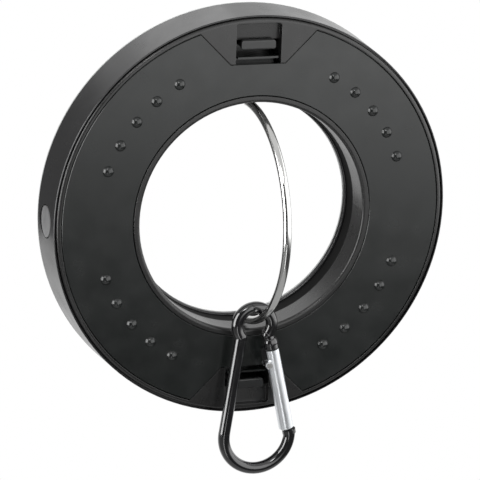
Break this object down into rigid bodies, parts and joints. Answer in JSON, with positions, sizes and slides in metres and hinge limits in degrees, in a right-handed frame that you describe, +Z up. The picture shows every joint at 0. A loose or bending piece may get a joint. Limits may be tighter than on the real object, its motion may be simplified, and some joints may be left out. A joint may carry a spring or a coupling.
{
  "type": "patio umbrella light",
  "caption": "Ring-shaped battery light that goes round an umbrella pole, with a latched battery lid, a side button, a folding wire bail and a snap hook.",
  "frame": {"origin": "middle of the ring, where the bail's pivot line crosses the ring's axis", "axes": "+Y along the ring's axis from the battery face to the lens, +Z up through both latches, -X towards the power button"},
  "size_m": [0.1997, 0.0687, 0.2273],
  "materials": {
    "shell_black": "satin black, fine moulded grain",
    "housing_black": "satin black",
    "lid_black": "satin black",
    "latch_black": "satin black",
    "lens_milk": "milky, translucent",
    "board_white": "white solder mask",
    "led_phosphor": "glossy",
    "screw_steel": "zinc plated",
    "cell_can": "glossy printed can",
    "spring_steel": "plated wire",
    "contact_steel": "plated sheet",
    "button_grey": "matt grey",
    "switch_black": "matt",
    "board_green": "solder mask",
    "bush_black": "matt",
    "bail_chrome": "polished",
    "hook_black": "gloss black",
    "gate_aluminium": "polished",
    "rivet_steel": "plated"
  },
  "bodies": {
    "ring": {"outer_shell": "shell_black", "housing": "housing_black", "lens": "lens_milk", "led_board": "board_white", "leds": "led_phosphor", "case_screws": "screw_steel", "cell_1": "cell_can", "cell_2": "cell_can", "cell_3": "cell_can", "cell_4": "cell_can", "contact_spring_1": "spring_steel", "contact_spring_2": "spring_steel", "contact_spring_3": "spring_steel", "contact_spring_4": "spring_steel", "contact_plates_1": "contact_steel", "contact_plates_2": "contact_steel", "contact_plates_3": "contact_steel", "contact_plates_4": "contact_steel", "tactile_switch": "switch_black", "switch_board": "board_green", "bush_top": "bush_black", "bush_bottom": "bush_black"},
    "lid": {"lid": "lid_black"},
    "top_latch": {"top_latch": "latch_black"},
    "bottom_latch": {"bottom_latch": "latch_black"},
    "button": {"power_button": "button_grey"},
    "bail": {"bail": "bail_chrome"},
    "snap_hook": {"hook_frame": "hook_black", "gate_rivet": "rivet_steel"},
    "gate": {"hook_gate": "gate_aluminium", "gate_spring": "spring_steel"}
  },
  "joints": [
    {"name": "bail_swing", "type": "hinge", "parent": "ring", "child": "bail", "pos_m": [0, 0, 0], "axis": [0, 0, 1], "range_deg": [-25, 25]},
    {"name": "hook_turn", "type": "hinge", "parent": "bail", "child": "snap_hook", "pos_m": [0.00136, -0.0245, -0.0488], "axis": [0, 0, 1], "range_deg": [-25, 25]},
    {"name": "gate_open", "type": "hinge", "parent": "snap_hook", "child": "gate", "pos_m": [0.0071, -0.0223, -0.07154], "axis": [0, 1, 0], "range_deg": [0, 26], "stiffness_Nm_per_rad": 0.25, "springref_deg": -20.05},
    {"name": "power_press", "type": "slide", "parent": "ring", "child": "button", "axis": [1, 0, 0], "range_m": [0, 0.0006], "stiffness_N_per_m": 2500, "springref_m": -0.0004},
    {"name": "lid_lift", "type": "slide", "parent": "ring", "child": "lid", "axis": [0, -1, 0], "range_m": [0, 0.0022]},
    {"name": "top_latch_press", "type": "hinge", "parent": "lid", "child": "top_latch", "pos_m": [0, 0.001, 0.0841], "axis": [1, 0, 0], "range_deg": [0, 9]},
    {"name": "bottom_latch_press", "type": "hinge", "parent": "lid", "child": "bottom_latch", "pos_m": [0, 0.001, -0.0841], "axis": [-1, 0, 0], "range_deg": [0, 9]}
  ],
  "couplings": [
    {"joint": "hook_turn", "follows": "bail_swing", "ratio": -1},
    {"joint": "top_latch_press", "follows": "lid_lift", "rad_per_m": 71.2},
    {"joint": "bottom_latch_press", "follows": "lid_lift", "rad_per_m": 71.2}
  ]
}
